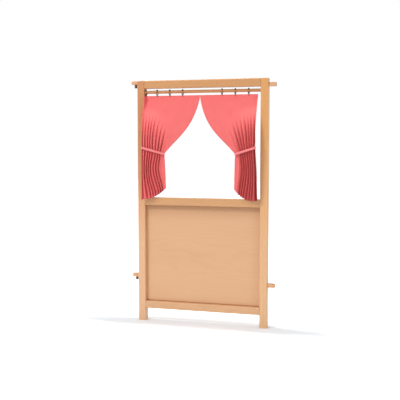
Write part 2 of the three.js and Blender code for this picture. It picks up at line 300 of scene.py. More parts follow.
class Finish(Tree):
    """A material for one of the stand's finishes, with its Principled shader as surface."""

    def __init__(self, name):
        self.material = bpy.data.materials.new(name)
        super().__init__(self.material, "Principled BSDF")

    def blend(self, share, first, second):
        """A colour between two others, by a share."""
        return self.node("Mix", {"data_type": "RGBA"}, {0: share, 6: first, 7: second}, 2)

    def place(self, shift=(0, 0, 0), turn=(0, 0, 0), scale=(1, 1, 1)):
        """A point of the piece, scaled, turned and then shifted."""
        where = self.node("TexCoord", output="Object")
        inputs = {"Vector": where, "Location": shift, "Rotation": turn, "Scale": scale}
        return self.node("Mapping", {}, inputs)

    def noise(self, where, scale, detail):
        return self.node("TexNoise", {}, {"Vector": where, "Scale": scale, "Detail": detail})

    def bump(self, height, strength, distance):
        inputs = {"Height": height, "Strength": strength, "Distance": distance}
        return self.node("Bump", {}, inputs)


def paint(red, green, blue):
    """A colour as it is seen on a screen, 0 to 255, as the light that it reflects."""
    seen = np.array([red, green, blue]) / 255
    light = np.where(seen <= 0.04045, seen / 12.92, ((seen + 0.055) / 1.055) ** 2.4)
    return (*light.tolist(), 1.0)


# Beech

# A board's grain runs along Z after this turn
GRAIN_TURNS = {"X": (0, math.pi / 2, 0), "Z": (0, 0, 0)}

# How many marks lie in a metre across and along the grain, and how finely they are broken up
WANDER = (9, 1.6, 2)
STREAKS = (260, 5, 3)
PORES = (1500, 90, 1)
FLECKS = (900, 160, 2)

# Yearly rings in a metre, how far the grain wanders between them, and the shares of a ring over which late
# wood comes and goes
YEARLY_RINGS = 290
RING_WANDER = 0.03
LATE_WOOD = (0.45, 1)
LATE_WOOD_END = (0.93, 1)

# The levels of each mark between which it shows
STREAK_CUT = (0.3, 0.75)
PORE_CUT = (0.6, 0.74)
FLECK_CUT = (0.63, 0.7)

# How far each mark darkens the wood
LATE_TONE = 0.4
STREAK_TONE = 0.3
WANDER_TONE = 0.5
FLECK_TONE = 0.32
PORE_TONE = 0.2
END_TONE = 0.45

# How far each mark roughens the lacquer, and how it stands out of it
PORE_ROUGHNESS = 0.12
STREAK_ROUGHNESS = 0.08
END_ROUGHNESS = 0.15
STREAK_RISE = 0.4
PORE_DEPTH = 0.6
FLECK_DEPTH = 0.2
GRAIN_BUMP = (0.35, 0.15 * MM)

# Heights between which the tone at the foot gives way to that at the top, painted shade that darkens
# the stand's upper part, and where a board's ends begin
TOP_SHADE_HEIGHTS = (0.3, 1.05)
END_CUT = (0.8, 0.95)

# How far from a panel's sides, top and foot painted shade darkens the corners of its recess, how far down
# the painted shadow of the middle rail reaches, and how strongly at the sides and down the panel
RECESS_SHADE_REACH = 5 * MM
RECESS_SHADE_AT_FOOT = 8 * MM
RAIL_SHADOW_REACH = 90 * MM
RECESS_SHADE_TONE = 0.6
RAIL_SHADOW_TONE = 0.33


def beech(name, tones, along, pith, roughness=0.42, figure=1.0, edges=None):
    """Lacquered beech. Yearly rings lie round a pith beside the board, so that they draw lines along its
    faces and arcs on its ends. Short flecks and fine pores run along the grain, and figure is how strongly
    they show. The tone changes with height from the foot's to the top's, painted shade where the top tone
    is darker. edges are the half width, foot and top of a panel's open face, along which painted shade
    darkens the corners of its recess and, from the top down, a painted shadow of the middle rail falls."""
    wood = Finish(name)
    own = wood.place()
    turned = wood.place(pith, GRAIN_TURNS[along])

    def marks(across_grain, along_grain, detail):
        drawn_out = wood.stretch(turned, (across_grain, across_grain, along_grain))
        return wood.noise(drawn_out, scale=1, detail=detail)

    wander = marks(*WANDER)
    from_pith = wood.length(wood.stretch(turned, (1, 1, 0)))
    ring = ((from_pith + wander * RING_WANDER) * YEARLY_RINGS).fraction()
    late = ring.between(*LATE_WOOD) * (1 - ring.between(*LATE_WOOD_END))
    streak = marks(*STREAKS)
    pores = marks(*PORES).between(*PORE_CUT)
    flecks = marks(*FLECKS).between(*FLECK_CUT)
    level = wood.part(own, "Z")
    # Painted shade: the tone runs from the foot's to the top's, which is darker where the stand is higher
    height = level.between(*TOP_SHADE_HEIGHTS)
    pale, dark, fleck = (wood.blend(height, low, high) for low, high in zip(*tones))
    figured = (late * LATE_TONE + streak.between(*STREAK_CUT) * STREAK_TONE) * figure
    tone = wood.blend(figured + (wander - 0.5) * WANDER_TONE, pale, dark)
    tone = wood.blend((flecks * FLECK_TONE + pores * PORE_TONE) * figure, tone, fleck)
    # Painted shade in the corners of the panel's recess, and a painted shadow of the middle rail down from
    # its top
    if edges:
        half, foot, top = edges
        beside = abs(wood.part(own, "X")).between(half - RECESS_SHADE_REACH, half)
        under = level.between(top - RECESS_SHADE_REACH, top) + level.between(top - RAIL_SHADOW_REACH, top) * RAIL_SHADOW_TONE
        above = 1 - level.between(foot, foot + RECESS_SHADE_AT_FOOT)
        tone = wood.blend(beside * RECESS_SHADE_TONE + under + above, tone, fleck)
    # Ends of the board take the lacquer deeper and look darker
    end = abs(wood.part(wood.node("TexCoord", output="Normal"), along)).between(*END_CUT)
    wood.set(Base_Color=wood.blend(end * END_TONE, tone, fleck))
    rough = pores * PORE_ROUGHNESS + streak * STREAK_ROUGHNESS + end * END_ROUGHNESS
    wood.set(Roughness=roughness + rough)
    relief = streak * STREAK_RISE - pores * PORE_DEPTH - flecks * FLECK_DEPTH
    wood.set(Normal=wood.bump(relief, *GRAIN_BUMP))
    wood.set(IOR=1.45, Coat_Roughness=0.15, Coat_Weight=0.3)
    return wood.material


# Metal

# Clouds and brushing marks in a metre, and the levels of the clouds between which the metal is rubbed
METAL_CLOUDS = 180
BRUSHING = 1400
RUBBED_CUT = (0.45, 0.75)
RUBBED_SHARE = 0.5

# How far from the given height the painted highlight ends, and its share beside that of the worn spots
HIGHLIGHT_REACH = (5 * MM, 11 * MM)
HIGHLIGHT_SHARE = 0.6

METAL_ROUGHNESS = 0.22
CLOUD_ROUGHNESS = 0.1
SCUFF_ROUGHNESS = 0.06
SCUFF_BUMP = (0.12, 0.1 * MM)


def bronze(name, colour, wear_and_highlight_colour, height=None):
    """Dark bronzed metal with fine brushing. It is worn brighter in spots, and where a height is given, a
    painted highlight brightens it round that height."""
    metal = Finish(name)
    where = metal.place()
    cloud = metal.noise(where, METAL_CLOUDS, detail=3)
    scuff = metal.noise(where, BRUSHING, detail=2)
    wear_and_highlight = cloud.between(*RUBBED_CUT) * RUBBED_SHARE
    # Painted highlight round the given height, where the ring's sides catch the light
    if height is not None:
        near = 1 - abs(metal.part(where, "Z") - height).between(*HIGHLIGHT_REACH)
        wear_and_highlight = wear_and_highlight * (1 - HIGHLIGHT_SHARE) + near * HIGHLIGHT_SHARE
    metal.set(Base_Color=metal.blend(wear_and_highlight, colour, wear_and_highlight_colour), Metallic=0.95)
    metal.set(Roughness=METAL_ROUGHNESS + cloud * CLOUD_ROUGHNESS + scuff * SCUFF_ROUGHNESS)
    metal.set(Normal=metal.bump(scuff, *SCUFF_BUMP))
    return metal.material


# Cotton and thread

# Thick spots of yarn in a metre along it and across it, and clouds in the dye
SLUB_ALONG = 40
SLUB_ACROSS = 900
DYE_CLOUDS = 14

# How far the gaps between the yarns, their thick spots and the clouds change the shade, and between which
# levels it runs from the cloth's colour to the deeper one
GAP_SHADE = 0.18
SLUB_SHADE = 0.5
CLOUD_SHADE = 0.35
SHADE_CUT = (-0.3, 0.6)

COTTON_ROUGHNESS = 0.82
SLUB_ROUGHNESS = 0.12
CROSSING_RISE = 0.5
YARN_RISE = 0.5
SLUB_RISE = 0.3
WEAVE_BUMP = (0.35, 0.2 * MM)


def cotton(name, colour, deep, valley, pitch):
    """Plain woven cotton. Warp and weft lie along the cut cloth's own two directions, a pitch apart, and
    every other crossing is raised. The yarn's thickness and colour vary a little. Where a point attribute
    of the cloth is high, the colour goes over to the valley colour: painted shade in the valleys of the
    folds."""
    cloth = Finish(name)
    flat = cloth.node("UVMap", {"uv_map": "cut"})
    warp = (cloth.part(flat, "X") * (math.pi / pitch)).sine()
    weft = (cloth.part(flat, "Y") * (math.pi / pitch)).sine()
    yarn = (abs(warp) + abs(weft)) * 0.5
    slub_across = cloth.noise(cloth.stretch(flat, (SLUB_ALONG, SLUB_ACROSS, 1)), scale=1, detail=2)
    slub_down = cloth.noise(cloth.stretch(flat, (SLUB_ACROSS, SLUB_ALONG, 1)), scale=1, detail=2)
    cloud = cloth.noise(flat, DYE_CLOUDS, detail=3)
    shade = (1 - yarn) * GAP_SHADE + (slub_across + slub_down - 1) * SLUB_SHADE + (cloud - 0.5) * CLOUD_SHADE
    # Painted shade of the folds, read from a point attribute of the cloth
    painted_shade = cloth.node("Attribute", {"attribute_name": "fold_shade"}, output="Fac")
    cloth.set(Base_Color=cloth.blend(painted_shade, cloth.blend(shade.between(*SHADE_CUT), colour, deep), valley))
    cloth.set(Roughness=COTTON_ROUGHNESS + slub_across * SLUB_ROUGHNESS)
    relief = warp * weft * CROSSING_RISE + yarn * YARN_RISE + slub_down * SLUB_RISE
    cloth.set(Normal=cloth.bump(relief, *WEAVE_BUMP))
    cloth.set(Sheen_Weight=0.15, Sheen_Roughness=0.5, Specular_IOR_Level=0.2)
    return cloth.material


# Twists of the thread in a metre and changes of its tone, and how far each deepens its colour
TWISTS = 2400
THREAD_CLOUDS = 60
TWIST_TONE = 0.5
CHANGE_TONE = 0.4

THREAD_ROUGHNESS = 0.6
TWIST_ROUGHNESS = 0.2
TWIST_BUMP = (0.3, 0.1 * MM)


def sewing_thread(name, colour, deep):
    """Twisted sewing thread, its tone changing from stitch to stitch."""
    thread = Finish(name)
    where = thread.place()
    twist = thread.noise(where, TWISTS, detail=1)
    change = thread.noise(where, THREAD_CLOUDS, detail=2)
    thread.set(Base_Color=thread.blend(twist * TWIST_TONE + change * CHANGE_TONE, colour, deep))
    thread.set(Roughness=THREAD_ROUGHNESS + twist * TWIST_ROUGHNESS)
    thread.set(Normal=thread.bump(twist, *TWIST_BUMP))
    return thread.material


# Surfaces


def make_piece(name, points, faces, material, cut=None, smooth=True):
    """A piece from rows of points and of faces. cut gives each point's place on the cut cloth, in metres."""
    mesh = bpy.data.meshes.new(name)
    rows = faces.tolist() if isinstance(faces, np.ndarray) else faces
    mesh.from_pydata(points.reshape(-1, 3).tolist(), [], rows)
    mesh.polygons.foreach_set("use_smooth", np.full(len(mesh.polygons), smooth))
    if cut is not None:
        corners = np.empty(len(mesh.loops), np.int32)
        mesh.loops.foreach_get("vertex_index", corners)
        layer = mesh.uv_layers.new(name="cut")
        layer.data.foreach_set("uv", cut.reshape(-1, 2)[corners].astype(np.float32).ravel())
    mesh.materials.append(material)
    mesh.update()
    piece = bpy.data.objects.new(name, mesh)
    bpy.context.scene.collection.objects.link(piece)
    return piece


def grid_faces(rows, columns, round_rows=False, round_columns=False):
    """The quads of a grid of points, numbered row by row; a round direction closes on itself."""
    index = np.arange(rows * columns).reshape(rows, columns)
    if round_rows:
        index = np.vstack([index, index[:1]])
    if round_columns:
        index = np.hstack([index, index[:, :1]])
    return np.stack([index[:-1, :-1], index[1:, :-1], index[1:, 1:], index[:-1, 1:]], -1).reshape(-1, 4)


def ring_points(place):
    """A round wire bent into a ring: at turn a of the ring and b of the wire the point lies at distance
    R + r·cos b from the ring's middle, in direction a, and r·sin b along X."""
    turn = np.linspace(0, 2 * np.pi, RING_STEPS, endpoint=False)[:, None]
    wire = np.linspace(0, 2 * np.pi, WIRE_STEPS, endpoint=False)[None, :]
    reach = RING_RADIUS + RING_WIRE * np.cos(wire)
    along = place + RING_WIRE * np.sin(wire) + 0 * turn
    return np.stack([along, FRAME_MIDDLE + reach * np.cos(turn), RING_HEIGHT + reach * np.sin(turn)], -1)


def make_ring(name, material):
    """A ring in place of the frame's own plainer one."""
    low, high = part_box(name)
    ring = make_piece(name + "_wire", ring_points((low.x + high.x) / 2),
                      grid_faces(RING_STEPS, WIRE_STEPS, True, True), material)
    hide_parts(name)
    return ring, (low.x + high.x) / 2


def binding_points(place, forward):
    """Turns of thread round a ring's lowest point and through the heading, which hangs so far forward. Each
    turn is a belt round two round cores: at direction a its point is the core's middle plus its radius times
    (cos a, sin a), of the core that reaches further that way. The thread's own round section stands on the
    belt and on X."""
    turn = np.linspace(0, 2 * np.pi, BINDING_STEPS, endpoint=False)
    out = np.stack([np.zeros_like(turn), np.cos(turn), np.sin(turn)], -1)
    upper = np.array([0, FRAME_MIDDLE, RING_HEIGHT - RING_RADIUS])
    lower = np.array([0, FRAME_MIDDLE - forward, HEAD_TOP - BINDING_DEPTH])
    upper_reach = RING_WIRE + BINDING_THREAD
    lower_reach = CLOTH_THICKNESS + BINDING_THREAD
    further = out @ upper + upper_reach > out @ lower + lower_reach
    belt = np.where(further[:, None], upper + upper_reach * out, lower + lower_reach * out)
    section = np.linspace(0, 2 * np.pi, THREAD_SIDES, endpoint=False)[None, :, None]
    around = np.cos(section) * out[:, None] + np.sin(section) * np.array([1, 0, 0])
    loop = belt[:, None] + BINDING_THREAD * around
    shifts = (np.arange(BINDING_TURNS) - (BINDING_TURNS - 1) / 2) * BINDING_PITCH
    loops = np.repeat(loop[None], BINDING_TURNS, 0)
    loops[..., 0] += place + shifts[:, None, None]
    return loops


def make_binding(name, place, material):
    side = "left" if place < 0 else "right"
    out, forward = heading(side, np.linspace(0, 1, COLUMNS + 1))
    loops = binding_points(place, float(np.interp(-abs(place - CURTAIN_SHIFT), -out, forward)))
    one = grid_faces(BINDING_STEPS, THREAD_SIDES, True, True)
    shifts = np.arange(BINDING_TURNS) * BINDING_STEPS * THREAD_SIDES
    faces = (one[None] + shifts[:, None, None]).reshape(-1, 4)
    return make_piece(name, loops, faces, material)


# Curtains


def heading(side, across):
    """Each thread's place out and forward at the heading. The cloth runs straight along the rod. At its
    outer end it goes round a quarter turn of the bend's radius and then straight forward beside the stile."""
    bend = HEAD_BEND[side]
    outer = OPENING_HALF + CURTAIN_SHIFT - HEAD_GAP[side]
    round_the_bend = HEAD_RETURN[side] + bend * math.pi / 2
    run = across * (round_the_bend + outer - bend - HEAD_INNER[side])
    angle = np.clip((run - HEAD_RETURN[side]) / bend, 0, math.pi / 2)
    out = outer - bend * (1 - np.cos(angle)) - np.clip(run - round_the_bend, 0, None)
    return out, HEAD_FORWARD + bend * (1 - np.sin(angle)) + np.clip(HEAD_RETURN[side] - run, 0, None)


def thread_ends(side, across):
    """Each thread's place at the foot of its straight heading and at the middle of the band."""
    out, forward = heading(side, across)
    head = [out, -forward, 0 * across + HEAD_TOP - HEAD_STRAIGHT]
    waist = [
        OPENING_HALF * lerp(WAIST_OUTER_SHARE, WAIST_INNER_SHARE[side], across),
        -lerp(WAIST_OUTER_FORWARD, WAIST_INNER_FORWARD, across),
        HEAD_TOP - (HEAD_TOP - LEDGE) * lerp(TIE_OUTER_SHARE, TIE_INNER_SHARE, across),
    ]
    return np.stack(head, -1), np.stack(waist, -1)


def upper_way(side, across, down):
    """A thread's place above the band: a Bezier curve between its two ends. Its two middle points lie on the
    way between them, at shares that change with the square of the thread's place across."""
    head, waist = thread_ends(side, across)
    swing = waist - head
    blank = np.zeros_like(across)

    def share(innermost):
        return lerp(STRAIGHT_SHARE, innermost, across**2)

    leaving = np.stack([share(FIRST_OUT_SHARE), blank + FORWARD_SHARE, share(FIRST_DROP_SHARE)], -1)
    arriving = np.stack([share(LAST_OUT_SHARE), blank, share(LAST_RISE_SHARE)], -1)
    first = head + leaving * swing
    last = waist - arriving * swing
    down = down[..., None]
    up = 1 - down
    return up**3 * head + 3 * up**2 * down * first + 3 * up * down**2 * last + down**3 * waist


def thread_ways(side, across):
    """The way of each thread from heading to hem, before its folds.

    It hangs straight for a little under the heading, follows its curve to the band, runs straight down under
    the band and on to the hem, at the length of the cut cloth. The hem is trimmed along a parabola through
    its trims at the outer edge, in the middle and at the inner edge."""
    tied = BAND_HEIGHT / 2 + BAND_MARGIN
    down = np.linspace(0, 1, ROWS_ABOVE + 1)[:, None] + 0 * across
    above = upper_way(side, across + 0 * down, down)
    lengths = np.linalg.norm(np.diff(above, axis=0), axis=-1).sum(0)
    straight = lerp(above[:1] + np.array([0, 0, HEAD_STRAIGHT]), above[:1],
                    np.linspace(0, 1, ROWS_HEADING + 1)[:-1, None, None])
    under = above[-1] - np.array([0, 0, tied])
    length_below = HEAD_TOP - LEDGE + HEM_SLACK[side] - HEAD_STRAIGHT - lengths - tied
    length_below = length_below + np.polyval(np.polyfit((0, 0.5, 1), HEM_TRIM[side], 2), across)
    hem = np.stack([
        OPENING_HALF * lerp(HEM_OUTER_SHARE, HEM_INNER_SHARE, across),
        -lerp(HEM_OUTER_FORWARD, HEM_INNER_FORWARD, across),
        under[:, 2] - length_below,
    ], -1)
    middle = lerp(above[-1], under, np.linspace(0, 1, ROWS_TIED + 1)[1:, None, None])
    below = lerp(under, hem, np.linspace(0, 1, ROWS_BELOW + 1)[1:, None, None])
    ways = np.concatenate([straight, above, middle, below])
    for _ in range(SMOOTHING_PASSES):
        ways[1:-1] = (ways[:-2] + 2 * ways[1:-1] + ways[2:]) / 4
    return ways


def fold_place(side, ways, down, from_band):
    """Where each point lies between the folds, 0 to 1 from the outer edge inwards.

    At the band this is the share s of the way across. Higher up the fold lines fan out less than the threads
    do, and it is s·(1 + c·(1 - s^p)), where c falls from the fan's height to nothing at the band. Under the
    band the lines sweep outwards and then back to the hem, and it is s·(1 + c·(1 - s)), where c is the
    sweep."""
    out = ways[..., 0]
    share = (out - out[:, :1]) / (out[:, -1:] - out[:, :1])
    fan = FAN[side] * (1 - np.clip((down - FAN_TOP_SHARE) / (1 - FAN_TOP_SHARE), 0, 1) ** 2)
    below = from_band / from_band[-1]
    sweep = lerp(SWEEP[side], HEM_SWEEP[side], smoothstep(below, SWEEP_SHARE, 1))
    sweep = sweep * smoothstep(below, 0, SWEEP_SHARE)
    return share * (1 + fan * (1 - share**FAN_POWER) + sweep * (1 - share))


def fold_depth(side, place, down, from_band):
    """How far the folds stand out at a place, from -v·a in a valley to a on a ridge.

    With t = 2·pi·f, where f counts the folds from a valley and drifts a little, so that no two are alike,
    and s = (1 - cos(t + k·cos t)) / 2, which leans each fold to one side, the height above the band is
    a·(1 - (1 + v)·(1 - s)^n), which has broad ridges, and under it a·((1 + v)·s^n - v), which has broad
    valleys. a grows from nothing below the heading to its full depth at the band, soonest at the outer edge.
    v is how much deeper a valley lies than a ridge stands, and the band draws it back to 1. The folds run
    out on the inner margin.

    Also how much painted shade the cloth gets there, (1 - s)^q by the share of the full depth, which is most
    in the valleys, and a little more at an outer edge that is turned away from the light."""
    phase = FOLD_PHASE[side]
    drift = FOLD_DRIFT * np.sin(place * DRIFT_RATE + phase)
    angle = 2 * np.pi * ((place - FIRST_VALLEY) / FOLD_PITCH + drift)
    rise = (1 - np.cos(angle + FOLD_SKEW * np.cos(angle))) / 2
    valley = lerp(LOOSE_VALLEY, 1, np.exp(-((from_band / BAND_GRIP) ** 2)))
    broad_ridges = 1 - (1 + valley) * (1 - rise) ** RIDGE_POWER
    broad_valleys = (1 + valley) * rise**VALLEY_POWER - valley
    wave = lerp(broad_ridges, broad_valleys, smoothstep(from_band, *BAND_TURNOVER))
    fade = lerp(OUTER_FADE_SHARE, INNER_FADE_SHARE, place**3)
    height = WAIST_FOLD * np.sin(np.pi / 2 * np.clip((down - fade) / (1 - fade), 0, 1))
    height = lerp(height, HEM_FOLD, smoothstep(from_band, *HEM_FOLD_REACH))
    uneven = 1 - FOLD_UNEVEN * (1 + np.sin(place * UNEVEN_RATE + phase)) / 2
    margin = 1 - smoothstep((place - FOLDED_SHARE[side]) / FOLD_PITCH, *MARGIN_FADE)
    height = height * uneven * margin * smoothstep(place, *EDGE_FADE)
    power = lerp(FOLD_SHADE_POWER_ABOVE, FOLD_SHADE_POWER[side], smoothstep(from_band, *FOLD_SHADE_CHANGE))
    turned_away = 1 - smoothstep(place, *TURNED_EDGE_SHADE_REACH)
    # Painted shade: most in the fold valleys, and more at an outer edge turned from the light
    fold_shade = FOLD_SHADE_DEPTH[side] * (1 - rise) ** power + TURNED_EDGE_SHADE[side] * turned_away
    return height * wave, fold_shade * height / WAIST_FOLD


def curtain_grid(side, across):
    """The cloth's front surface as rows of points, each point's place on the cut cloth, and the painted shade
    that it gets there.

    The folds stand out from the ways along a level direction that turns, on the way down to the band, from
    straight forward to square to the tied waist. The band draws its two ends a little together, and right
    under the band the cloth lies a little further back."""
    ways = thread_ways(side, across)
    steps = np.linalg.norm(np.diff(ways, axis=0), axis=-1)
    lengths = np.vstack([np.zeros(len(across)), np.cumsum(steps, 0)])
    from_band = lengths - lengths[ROWS_HEADING + ROWS_ABOVE]
    down = np.clip((np.arange(len(ways)) - ROWS_HEADING) / ROWS_ABOVE, 0, 1)[:, None]
    depth, fold_shade = fold_depth(side, fold_place(side, ways, down, from_band), down, from_band)
    depth = depth - TUCK * np.exp(-(((from_band - TUCK_BELOW) / TUCK_REACH) ** 2))
    pinch = PINCH_SHARE * np.exp(-((from_band / PINCH_REACH) ** 2))[..., None]
    middle = ways[:, len(across) // 2][:, None]
    ways[..., :2] = lerp(ways[..., :2], middle[..., :2], pinch)
    turn = waist_turn(side) * smoothstep(down, TURN_FROM, 1)
    points = np.stack([
        CURTAIN_SHIFT + SIDES[side] * (ways[..., 0] - depth * np.sin(turn)),
        FRAME_MIDDLE + ways[..., 1] - depth * np.cos(turn),
        ways[..., 2],
    ], -1)
    width = np.concatenate([[0], np.cumsum(np.linalg.norm(np.diff(ways[0], axis=0), axis=-1))])
    cut = np.stack([width + 0 * lengths, lengths], -1)
    return points, cut, fold_shade


def waist_turn(side):
    """The angle between the tied waist, seen from above, and the frame."""
    width = OPENING_HALF * (WAIST_OUTER_SHARE - WAIST_INNER_SHARE[side])
    return math.atan2(WAIST_OUTER_FORWARD - WAIST_INNER_FORWARD, width)


def surface_normals(points, toward):
    """The unit normals of a grid of points: the cross product of its two directions, turned to one side."""
    down, across = np.gradient(points, axis=0), np.gradient(points, axis=1)
    normals = unit(np.cross(down, across))
    return normals * np.sign((normals * toward).sum(-1).mean())


def make_curtain(side, material):
    """The cloth as one closed skin. Its hems have two layers, and stand out at the back."""
    across = np.linspace(0, 1, COLUMNS + 1)
    points, cut, fold_shade = curtain_grid(side, across)
    faces = grid_faces(*points.shape[:2])
    if side == "right":
        faces = faces[:, ::-1]
    cloth = make_piece(side + "_curtain_cloth", points, faces, material, cut)
    layer = cloth.data.attributes.new("fold_shade", "FLOAT", "POINT")
    layer.data.foreach_set("value", fold_shade.astype(np.float32).ravel())
    width, length = cut[..., 0].max(), cut[-1, :, 1]
    hem = (cut[..., 0] < SIDE_HEM) | (cut[..., 0] > width - SIDE_HEM)
    hem |= (cut[..., 1] < HEADING_HEM) | (cut[..., 1] > length - BOTTOM_HEM)
    group = cloth.vertex_groups.new(name="hem")
    group.add(np.flatnonzero(hem.ravel()).tolist(), 1.0, "REPLACE")
    skin = cloth.modifiers.new("skin", "SOLIDIFY")
    skin.thickness = HEM_LAYERS * CLOTH_THICKNESS
    skin.offset = -1
    skin.vertex_group = "hem"
    skin.thickness_vertex_group = 1 / HEM_LAYERS
    return cloth, points, cut


# Stitches


def line_down(grid, share):
    """The values of a grid along one of its columns, at a share across."""
    return grid[:, round(share * (grid.shape[1] - 1))]


def line_across(grid, lengths, place):
    """The values of a grid along a line across it, where each column's length from the top is at a place."""
    row = np.clip((lengths < place).sum(0), 1, len(lengths) - 1)
    column = np.arange(lengths.shape[1])
    share = (place - lengths[row - 1, column]) / (lengths[row, column] - lengths[row - 1, column])
    return lerp(grid[row - 1, column], grid[row, column], share[:, None])


def stitches_along(line, normals):
    """The start, end and lift of the stitches of one seam, at even steps along a line of points."""
    run = np.concatenate([[0], np.cumsum(np.linalg.norm(np.diff(line, axis=0), axis=-1))])
    starts = np.arange(STITCH_PITCH, run[-1] - STITCH_PITCH, STITCH_PITCH)

    def at(values, places):
        return np.stack([np.interp(places, run, values[:, k]) for k in range(3)], -1)

    return at(line, starts), at(line, starts + STITCH_LENGTH), unit(at(normals, starts + STITCH_LENGTH / 2))


def make_stitches(name, seams, material):
    """Short lengths of thread, one to a stitch: two round sections between two pointed ends that dip into
    the cloth. The point at angle a of a section is its middle plus r·(cos a · lift + sin a · side)."""
    start, end, lift = (np.concatenate(parts)[:, None] for parts in zip(*seams))
    side = unit(np.cross(end - start, lift))
    turn = np.linspace(0, 2 * np.pi, STITCH_SIDES, endpoint=False)[None, :, None]
    section = STITCH_RADIUS * (np.cos(turn) * lift + np.sin(turn) * side)
    rise = STITCH_RISE * STITCH_RADIUS * lift
    near = lerp(start, end, STITCH_SHOULDER) + rise
    far = lerp(start, end, 1 - STITCH_SHOULDER) + rise
    dip = STITCH_DIP * STITCH_RADIUS * lift
    points = np.concatenate([start - dip, near + section, far + section, end - dip], 1)
    near_ring = 1 + np.arange(STITCH_SIDES)
    far_ring = near_ring + STITCH_SIDES
    near_next, far_next = np.roll(near_ring, -1), np.roll(far_ring, -1)
    tip = 0 * near_ring
    near_end = np.stack([tip, near_next, near_ring], -1)
    far_end = np.stack([tip + 1 + 2 * STITCH_SIDES, far_ring, far_next], -1)
    belt = np.stack([near_ring, near_next, far_next, far_ring], -1)
    shifts = (np.arange(len(points)) * points.shape[1])[:, None, None]
    faces = []
    for part in (near_end, far_end, belt):
        faces += (part + shifts).reshape(-1, part.shape[-1]).tolist()
    return make_piece(name, points, faces, material)


def make_curtain_stitches(side, points, cut, material):
    """The seams of a curtain's hems: one down each side, one along the bottom and two along the heading."""
    normals = surface_normals(points, np.array([0, -1, 0]))
    lengths = cut[..., 1]
    side_share = (SIDE_HEM - STITCH_INSET) / cut[..., 0].max()
    seams = []
    for share in (side_share, 1 - side_share):
        seams.append(stitches_along(line_down(points, share), line_down(normals, share)))
    bottom = lengths[-1] - BOTTOM_HEM + STITCH_INSET
    for place in (TOP_SEAM, HEADING_HEM - STITCH_INSET, bottom):
        line = line_across(points, lengths, place)
        seams.append(stitches_along(line, line_across(normals, lengths, place)))
    return make_stitches(side + "_curtain_stitches", seams, material)


# Bands


def band_surface(side, around, section):
    """A flat strip closed round the folded waist. Its path is |x/a|^n + |y/b|^n = 1, with x along the waist
    and y through it. Its section is the same kind of curve, as high as the strip and as thick. The strip is
    then turned as the waist is, and sheared so that it slopes down to its inner end. The folds inside press
    it out in low waves."""
    flip = SIDES[side]
    outer, inner = OPENING_HALF * WAIST_OUTER_SHARE, OPENING_HALF * WAIST_INNER_SHARE[side]
    rise = (HEAD_TOP - LEDGE) * (TIE_INNER_SHARE - TIE_OUTER_SHARE)
    forward = WAIST_OUTER_FORWARD - WAIST_INNER_FORWARD
    turn = -flip * waist_turn(side)
    half = math.hypot(outer - inner, forward) / 2

    def rounded(angle, long, short, squareness):
        cos, sin = np.cos(angle), np.sin(angle)
        power = 2 / squareness
        return long * np.sign(cos) * np.abs(cos) ** power, short * np.sign(sin) * np.abs(sin) ** power

    along, through = rounded(around, half, BAND_INSIDE + BAND_THICKNESS / 2, BAND_SQUARENESS)

    def slope(value, reach):
        return (np.abs(value) / reach) ** (BAND_SQUARENESS - 1) * np.sign(value) / reach

    out = unit(np.stack([slope(along, half), slope(through, BAND_INSIDE)], -1))
    height, thick = rounded(section, BAND_HEIGHT / 2, BAND_THICKNESS / 2, BAND_EDGE_SQUARENESS)
    press = BAND_PRESS * np.cos(np.pi * along / (FOLD_PITCH * half) + BAND_PRESS_PHASE)
    x = along + (thick + press) * out[..., 0]
    y = through + (thick + press) * out[..., 1]
    turned = x * math.cos(turn) - y * math.sin(turn)
    deep = x * math.sin(turn) + y * math.cos(turn)
    tie = HEAD_TOP - (HEAD_TOP - LEDGE) * (TIE_INNER_SHARE + TIE_OUTER_SHARE) / 2
    return np.stack([
        CURTAIN_SHIFT + flip * (outer + inner) / 2 + turned,
        FRAME_MIDDLE - (WAIST_OUTER_FORWARD + WAIST_INNER_FORWARD) / 2 + deep,
        tie + height + flip * rise / (outer - inner) * turned,
    ], -1)


def make_band(side, material, thread):
    """The band and its two seams, each at a place of the section given in half turns, and its length."""
    around = np.linspace(0, 2 * np.pi, BAND_STEPS, endpoint=False)[:, None]
    section = np.linspace(0, 2 * np.pi, BAND_SECTION_STEPS, endpoint=False)[None, :]
    points = band_surface(side, around, section)
    faces = grid_faces(BAND_STEPS, BAND_SECTION_STEPS, True, True)[:, ::-1]
    run = np.cumsum(np.linalg.norm(points - np.roll(points, 1, 0), axis=-1).mean(1))[:, None]
    girth = np.cumsum(np.linalg.norm(points - np.roll(points, 1, 1), axis=-1).mean(0))[None, :]
    cut = np.stack([girth + 0 * run, run + 0 * girth], -1)
    band = make_piece(side + "_tieback_band", points, faces, material, cut)
    loop = np.linspace(0, 2 * np.pi, 4 * BAND_STEPS)
    seams = []
    for place in BAND_SEAMS:
        line = band_surface(side, loop, np.full_like(loop, place * np.pi))
        inside = band_surface(side, loop, np.full_like(loop, -place * np.pi))
        seams.append(stitches_along(line, unit(line - inside)))
    stitches = make_stitches(side + "_tieback_stitches", seams, thread)
    return band, stitches, float(run[-1, 0])


# Camera, light and floor

SENSOR_MM = 36
CAMERA_LENS_MM = 64.69
CAMERA_PLACE = (0.9908, FRAME_MIDDLE - 3.5305, 0.9268)
LOOK_AT = (-0.01158, FRAME_MIDDLE, 0.64037)

# Each lamp's place, what it points at, its width, its power in watts and its colour
LAMPS = {
    "key_lamp": ((-2.3, -3.1, 4.3), (0, 0, 0.7), 1.3, 140, (1, 1, 1)),
    "fill_lamp": ((3.4, -1.4, 1.3), (0, 0, 0.75), 1.2, 23, (1, 0.95, 0.87)),
    "top_lamp": ((0, FRAME_MIDDLE + 0.08, 2.7), (0, FRAME_MIDDLE, 0), 0.13, 26, (1, 1, 1)),
}
SIDE_LIGHT = 0.3
SKY_LIGHT = 0.8

BLACK = (0, 0, 0, 1)
WHITE = (1, 1, 1, 1)

